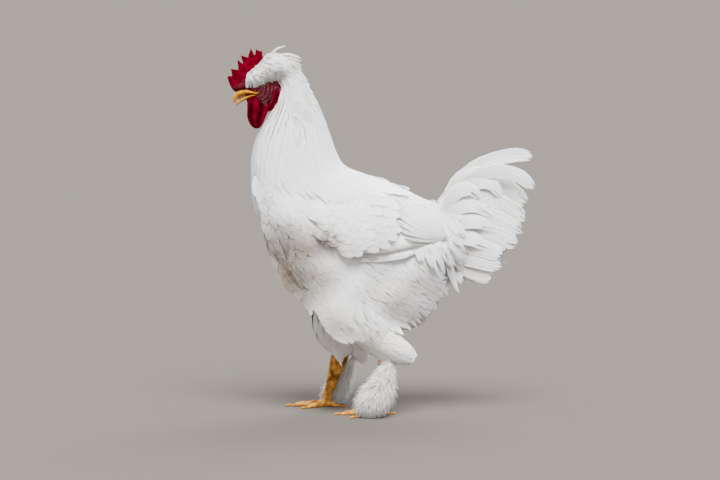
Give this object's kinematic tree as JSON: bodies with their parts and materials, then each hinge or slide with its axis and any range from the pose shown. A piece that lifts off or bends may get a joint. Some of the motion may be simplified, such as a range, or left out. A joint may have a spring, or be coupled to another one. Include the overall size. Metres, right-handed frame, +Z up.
{
  "type": "crested rooster",
  "caption": "Still, life-size white rooster with a crest, a single red comb and feathered shanks, standing on both feet with one leg forward.",
  "frame": {"origin": "on the floor, at the middle of the box round the bird", "axes": "+Z up, the bird faces -X, and its left side is towards -Y"},
  "size_m": [0.5021, 0.207, 0.5985],
  "materials": {
    "plumage": "soft satin white feathers",
    "red_skin": "fine pebbled moist skin",
    "yellow_skin": "scaly skin, satin",
    "horn": "smooth satin horn",
    "eye": "wet gloss"
  },
  "bodies": {
    "root": {"trunk": "plumage", "neck": "plumage", "crest": "plumage", "tail": "plumage", "sickle_left": "plumage", "sickle_right": "plumage", "wing_left": "plumage", "flight_feathers_left": "plumage", "thigh_left": "plumage", "boot_left": "plumage", "wattle_left": "red_skin", "earlobe_left": "red_skin", "shank_left": "yellow_skin", "foot_left": "yellow_skin", "spur_left": "horn", "claw_left_1": "horn", "claw_left_2": "horn", "claw_left_3": "horn", "claw_left_4": "horn", "eye_left": "eye", "wing_right": "plumage", "flight_feathers_right": "plumage", "thigh_right": "plumage", "boot_right": "plumage", "wattle_right": "red_skin", "earlobe_right": "red_skin", "shank_right": "yellow_skin", "foot_right": "yellow_skin", "spur_right": "horn", "claw_right_1": "horn", "claw_right_2": "horn", "claw_right_3": "horn", "claw_right_4": "horn", "eye_right": "eye", "head": "red_skin", "comb": "red_skin", "bill_upper": "horn", "bill_lower": "horn"}
  },
  "joints": []
}
